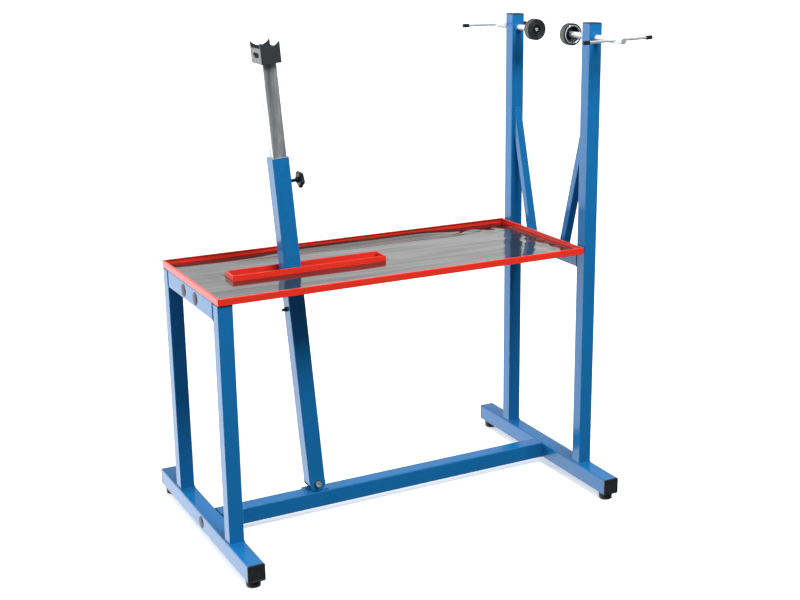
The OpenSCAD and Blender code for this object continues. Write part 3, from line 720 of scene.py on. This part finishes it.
def mat_lift(x, y):
    """How far the mat stands off the tray, in millimetres."""
    along = (x - mat_low.x) / (mat_high.x - mat_low.x)
    lift = 1.0 + 1.0 * noise.noise(Vector((x / 210, y / 75, 1.7)))
    lift += 0.45 * noise.noise(Vector((x / 260, y / 26, 5.1)))

    crease = CREASE_Y - CREASE_SLANT * (along - 0.5) + 5 * noise.noise(Vector((x / 160, 0, 0)))
    back = smooth(crease, mat_high.y, y)
    lift += BACK_H * back * smooth(0.15, 0.4, along) * smooth(0.93, 0.7, along)
    ridge = math.exp(-((y - crease) / CREASE_W) ** 2)
    lift += CREASE_H * ridge * smooth(0.12, 0.3, along) * smooth(0.95, 0.8, along)

    right = smooth(0.84, 0.95, along)
    lift += RIPPLE_H * right * noise.noise(Vector((x / 30, y / 40, 9.3)))
    corner = smooth(0.78, 0.86, along) * smooth(0.92, 0.88, along) * smooth(90, 150, y)
    off_fold = y - 178 - 0.5 * (x - mat_high.x + 160)
    lift += FOLD_H * corner * math.exp(-(off_fold / FOLD_W) ** 2)

    left = smooth(0.06, 0.0, along)
    lift += CURL_H * left * (0.5 + 0.5 * noise.noise(Vector((y / 90, 0, 3.0))))
    from_slot = max(abs(x - slot_mid.x) - half_slot_x, abs(y) - slot_high.y)
    return max(0.05, lift * smooth(0, SLOT_FADE, from_slot + SLOT_EDGE))


mat_hole = (slot_low.x - MAT_GAP, slot_high.x + MAT_GAP, slot_low.y - MAT_GAP, slot_high.y + MAT_GAP)
bm = holed_plate(mat_low.x, mat_high.x, mat_low.y, mat_high.y, mat_hole, mat_low.z, mat_high.z, MAT_STEP)
for v in bm.verts:
    v.co.z += mat_lift(v.co.x, v.co.y)
mat_piece = finish_mesh("mat_sheet", bm, "mat_rubber", "frame", replaces=("tray_mat",))

# ---------- knob ----------

KNOB_R = 25.0
KNOB_T = 15.0
KNOB_OUT = 27.0         # from the support's face to the back of the lobes
LOBES = 5
STUD_R = 4.95
STUD_START = 22.2       # from the support's axis
STUD_IN_GRIP = 6.0
STUD_LEAD = 1.5
STUD_CUT = 0.7          # depth of the thread


def lobed(r, z, angle):
    """Radius of the grip, which is round at its hub and has lobes further out."""
    share = smooth(9.0, 19.0, r)
    wave = math.cos(LOBES * angle)
    return r * (1 + share * (0.085 * wave + 0.02 * math.cos(2 * LOBES * angle)) - 0.1 * share)


def across_support(start):
    """The place of a piece that runs out of the support, from a distance off its axis."""
    return SUPPORT @ Matrix.Translation((start, 0, KNOB_AT)) @ Matrix.Rotation(math.pi / 2, 4, "Y")


knob_corners = [
    (5.05, -6, 0), (8, -6, 0.8), (9, 0, 1.5), (KNOB_R - 4, 0.4, 2.5), (KNOB_R, 3.5, 2.5),
    (KNOB_R, KNOB_T - 4, 3.5), (KNOB_R - 6, KNOB_T - 0.6, 3), (10.5, KNOB_T, 0.6), (10, KNOB_T - 1.1, 0.4),
    (9, KNOB_T - 1.1, 0.4), (8.6, KNOB_T - 0.2, 0.5), (0, KNOB_T + 0.3, 0),
]
lathe("star_grip", knob_corners, "gloss_black_plastic", "knob", across_support(half_beam + KNOB_OUT),
      segments=120, shape=lobed, steps=5, replaces=("star_knob",))


def threaded(lead, depth, z0, z1):
    """Radius of a screw thread that fades in and out between two heights."""

    def shape(r, z, angle):
        turn = (z / lead - angle / (2 * math.pi)) % 1.0
        tooth = abs(2 * turn - 1)
        cut = depth * max(0.0, min(1.0, 1.6 * tooth - 0.3))
        return r - cut * smooth(z0, z0 + lead, z) * smooth(z1, z1 - lead, z)

    return shape


def with_stations(corners, z0, z1, step, radius):
    """Corners before the thread, a ladder of close stations, and corners after it."""
    count = int((z1 - z0) / step)
    before = [c for c in corners if c[1] < z0]
    after = [c for c in corners if c[1] > z1]
    return before + [(radius, z0 + (z1 - z0) * k / count, 0) for k in range(count + 1)] + after


stud_len = half_beam + KNOB_OUT + STUD_IN_GRIP - STUD_START
stud_ends = [(0, 0, 0), (3.6, 0, 0), (4.9, 1, 0), (4.9, stud_len, 0), (0, stud_len + 0.01, 0)]
stud_corners = with_stations(stud_ends, 1.5, stud_len - 0.5, 0.25, STUD_R)
lathe("knob_stud", stud_corners, "black_steel", "knob", across_support(STUD_START), segments=40,
      shape=threaded(STUD_LEAD, STUD_CUT, 1.0, stud_len), replaces=("clamp_screw",))

# ---------- clamps ----------

HEAD_R = 32.5
HEAD_T = 24.0
CUP_R = 27.5
CUP_WALL = 3.5
SPINDLE_R = 9.0
BAR_AT = 241.0          # from the head's face to the bar's axis
SPINDLE_END = 279.0
COLLAR = 16.0           # where the spindle grows to its full radius
LEAD = 4.0
CUT = 0.9               # depth of the thread
BAR_R = 4.0
BAR_IN_CAP = 3.0        # the bar stops this far short of its cap's end


def ribbed(r, z, angle):
    """Fine ribs on the rubber's outer band."""
    if r < HEAD_R - 0.6 or not 3.0 < z < HEAD_T - 3.0:
        return r
    return r - 0.32 * (0.5 + 0.5 * math.cos(72 * angle))


rubber_corners = [
    (14, 5, 0.2), (14, 0, 1.4), (18.6, 0, 0.9), (20.0, 1.9, 0.6), (21.8, 1.9, 0.6), (23.2, 0, 0.9),
    (26, 0, 0.5), (26.8, 0.9, 0.4), (28.0, 0.9, 0.4), (28.8, 0, 0.5), (HEAD_R, 0, 2.2),
    (HEAD_R, 3.2, 0.1), (HEAD_R, 8.5, 0.1),
    (HEAD_R, HEAD_T - 8.5, 0.1), (HEAD_R, HEAD_T - 3.2, 0.1), (HEAD_R, HEAD_T - 1, 1.8),
    (CUP_R + 0.8, HEAD_T - 1, 0.6), (CUP_R, HEAD_T - 1.6, 0.3), (CUP_R, 5, 0.1),
]
cup_corners = [
    (9, 5, 0), (CUP_R, 5, 0.2), (CUP_R, HEAD_T - 4, 0), (CUP_R - CUP_WALL, HEAD_T - 4, 0),
    (CUP_R - CUP_WALL, 8, 2.0), (14, 8, 1.5), (13.5, 13, 0.6), (9, 13, 0.2),
]
ring_corners = [
    (CUP_R, HEAD_T - 4, 0), (CUP_R, HEAD_T, 0.8), (CUP_R - CUP_WALL, HEAD_T, 1.2),
    (CUP_R - CUP_WALL, HEAD_T - 4, 0),
]
washer_corners = [(0, 4.7, 0), (10, 4.7, 0.2), (10, 3, 0.5), (0, 3, 0)]


def socket_screw(name, head_r, head_h, socket_r, socket_depth, slot, body, place, replaces):
    """Round screw head with eased edges and a hexagon socket sunk in it. Its top is at z = 0."""
    around = angles(48)

    def circle(r, z):
        return [(r * math.cos(a), r * math.sin(a), z) for a in around]

    def hexagon(r, z):
        out = []
        for a in around:
            reach = r * math.cos(math.pi / 6) / math.cos((a % (math.pi / 3)) - math.pi / 6)
            out.append((reach * math.cos(a), reach * math.sin(a), z))
        return out

    loops = [circle(head_r, head_h), circle(head_r, 0.7)]
    loops += [circle(head_r - 0.2, 0.25), circle(head_r - 0.7, 0.0)]
    loops += [hexagon(socket_r + 0.35, 0.0), hexagon(socket_r, 0.35), hexagon(socket_r, socket_depth)]
    finish_mesh(name, loops_to_mesh(loops, cap_end=True), slot, body, place, replaces)


bar_half = (high("front_bar_caps").x - low("front_bar_caps").x) / 2
rod_half = bar_half - BAR_IN_CAP
rod_corners = [
    (0, -rod_half, 0), (BAR_R, -rod_half, 0.8), (BAR_R, 0, 0), (BAR_R, rod_half, 0.8), (0, rod_half, 0),
]
cap_corners = [
    (0, 0, 0), (5.9, 0, 1.8), (6.25, 4, 0.8), (5.9, 6, 0.5), (5.9, 16, 0.5), (6.2, 17.5, 0.5), (6.2, 20, 0.5),
    (4.05, 20, 0.2),
]
thread_start, thread_end = COLLAR + 10, BAR_AT - 14
spindle_ends = [
    (0, 4.7, 0), (6, 4.7, 0.2), (6, COLLAR, 0.2), (SPINDLE_R, COLLAR, 0.8), (SPINDLE_R, COLLAR + 8, 0),
    (SPINDLE_R, BAR_AT - 12, 0), (SPINDLE_R, SPINDLE_END, 1.4), (0, SPINDLE_END, 0),
]
spindle_corners = with_stations(spindle_ends, thread_start, thread_end, 0.5, SPINDLE_R)
spindle_shape = threaded(LEAD, CUT, thread_start, thread_end)


def screw_clamp(end, clamp, turned, shift):
    """One clamp. The head stands at clamp, the spindle at turned, and the bar is shifted in it."""
    head, screw, handle = end + "_head", end + "_screw", end + "_handle"
    lathe(end + "_rubber_wheel", rubber_corners, "head_rubber", head, clamp, closed=True, segments=288,
          shape=ribbed, replaces=(end + "_head_rubber",), steps=3)
    lathe(end + "_cup", cup_corners, "black_steel", head, clamp, closed=True, segments=96,
          replaces=(end + "_head_cup",))
    lathe(end + "_cup_ring", ring_corners, "bright_chrome", head, clamp, closed=True, segments=96,
          replaces=(end + "_head_cup",))
    lathe(end + "_washer", washer_corners, "black_steel", screw, turned, replaces=(end + "_retaining_screw",))
    socket_screw(end + "_centre_screw", 5.0, 3.0, 2.5, 2.4, "bright_chrome", screw, turned,
                 (end + "_retaining_screw",))
    lathe(end + "_screw_rod", spindle_corners, "bright_chrome", screw, turned, segments=48,
          shape=spindle_shape, replaces=(end + "_spindle",), steps=3)
    bar_place = turned @ Matrix.Translation((shift, 0, BAR_AT)) @ Matrix.Rotation(math.pi / 2, 4, "Y")
    lathe(end + "_bar_rod", rod_corners, "bright_chrome", handle, bar_place, segments=32,
          replaces=(end + "_bar",))
    for s, side_name in ((-1, "left"), (1, "right")):
        flip = Matrix.Rotation(0 if s < 0 else math.pi, 4, "Y")
        place = bar_place @ Matrix.Translation((0, 0, s * bar_half)) @ flip
        lathe(f"{end}_bar_cap_{side_name}", cap_corners, "gloss_black_plastic", handle, place, segments=40,
              replaces=(end + "_bar_caps",))


screw_clamp("front", FRONT_CLAMP, FRONT_TURNED, 7.0)
screw_clamp("rear", REAR_CLAMP, REAR_CLAMP, -8.0)

# ---------- studio ----------
# The floor and the lamps are placed in metres.

FLOOR = 60.0            # half the floor's side, in metres
floor_mesh = bpy.data.meshes.new("floor")
floor_corners = [(sx * FLOOR, sy * FLOOR, 0) for sx, sy in ((-1, -1), (1, -1), (1, 1), (-1, 1))]
floor_mesh.from_pydata(floor_corners, [], [(0, 1, 2, 3)])
floor = bpy.data.objects.new("floor", floor_mesh)
bpy.context.scene.collection.objects.link(floor)
floor_mat = Shader("floor", (0.9, 0.9, 0.9), 0.8, Specular_IOR_Level=0.0)
# The far floor glows a little, so that it stays as pale as the near floor that the lamps reach
spread_out = floor_mat.node("ShaderNodeVectorMath", operation="LENGTH")
floor_mat.link(floor_mat.coords, spread_out.inputs[0])
glow = floor_mat.spread(spread_out.outputs["Value"], 0.45, 0.95, 1.0, 6.0)
floor_mat.bsdf.inputs["Emission Color"].default_value = (1, 1, 1, 1)
floor_mat.link(glow, floor_mat.bsdf.inputs["Emission Strength"])
floor_mesh.materials.append(floor_mat.mat)
# The floor is seen and takes shadows, but it doesn't wash the paint out with its own white reflection
floor.visible_diffuse = False
floor.visible_glossy = False
floor.visible_shadow = False


def area_light(name, place, aim, size, power):
    data = bpy.data.lights.new(name, "AREA")
    data.shape = "RECTANGLE"
    data.size, data.size_y = size
    data.energy = power
    lamp = bpy.data.objects.new(name, data)
    lamp.location = place
    lamp.rotation_euler = (Vector(aim) - Vector(place)).to_track_quat("-Z", "Y").to_euler()
    bpy.context.scene.collection.objects.link(lamp)


area_light("front_key", (0.6, -3.2, 4.8), (0, 0, 0.6), (2.2, 2.0), 300)
area_light("key_left", (-4.4, -0.6, 2.2), (0, 0, 0.7), (3.0, 2.6), 34)
area_light("overhead", (0.2, 0.6, 4.6), (0, 0, 0.0), (5.5, 5.0), 60)

world = bpy.data.worlds.new("studio")
bpy.context.scene.world = world
world.use_nodes = True
tree = world.node_tree
background = tree.nodes["Background"]
direction = tree.nodes.new("ShaderNodeTexCoord")
parts = tree.nodes.new("ShaderNodeSeparateXYZ")
tree.links.new(direction.outputs["Generated"], parts.inputs[0])


def ramped(value, low_in, high_in, low_out, high_out):
    made = tree.nodes.new("ShaderNodeMapRange")
    made.inputs["From Min"].default_value = low_in
    made.inputs["From Max"].default_value = high_in
    made.inputs["To Min"].default_value = low_out
    made.inputs["To Max"].default_value = high_out
    tree.links.new(value, made.inputs["Value"])
    return made.outputs["Result"]


def joined(kind, a, b):
    made = tree.nodes.new("ShaderNodeMath")
    made.operation = kind
    tree.links.new(a, made.inputs[0])
    tree.links.new(b, made.inputs[1])
    return made.outputs[0]


from_left = ramped(parts.outputs["X"], -1, 0.1, 0.35, 0.0)
from_above = ramped(parts.outputs["Z"], -0.3, 0.9, 0.1, 0.26)
# The backdrop is brightest low down, and falls off upwards and to the left of the middle
backdrop = joined("MULTIPLY", ramped(parts.outputs["Y"], -0.1, 0.5, 0.0, 1.05),
                  joined("MULTIPLY", ramped(parts.outputs["Z"], 0.24, 0.46, 1.0, 0.4),
                         ramped(parts.outputs["X"], 0.12, 0.42, 0.62, 1.0)))
# A bright panel behind and to the left gives the left faces their pale sheen
panel = joined("MULTIPLY", ramped(parts.outputs["Y"], 0.3, 0.7, 0.0, 1.0),
               joined("MULTIPLY", ramped(parts.outputs["X"], -0.65, -0.2, 3.0, 1.1),
                      ramped(parts.outputs["X"], -0.15, 0.02, 1.0, 0.0)))
strength = joined("ADD", joined("ADD", from_left, backdrop), joined("ADD", from_above, panel))
tree.links.new(strength, background.inputs["Strength"])
background.inputs["Color"].default_value = (1, 1, 1, 1)

CAMERA_YAW = math.radians(29.42)
CAMERA_PITCH = math.radians(16.03)
# Measured from the left end of the beams, the middle of the depth and the beams' underside
CAMERA_LEFT, CAMERA_FRONT, CAMERA_UP = 1085.4, 3483.6, 1721.9

camera_data = bpy.data.cameras.new("camera")
camera_data.sensor_width = 36
camera_data.lens = 60.49
camera_data.shift_x = -0.0818
camera_data.shift_y = -0.0009
camera = bpy.data.objects.new("camera", camera_data)
bpy.context.scene.collection.objects.link(camera)
camera.location = ((LEFT_X - CAMERA_LEFT) * MM, -CAMERA_FRONT * MM, (BEAM_Z + CAMERA_UP) * MM)
camera.rotation_euler = (math.radians(90) - CAMERA_PITCH, 0, -CAMERA_YAW)
bpy.context.scene.camera = camera
bpy.context.scene.view_settings.view_transform = "Standard"
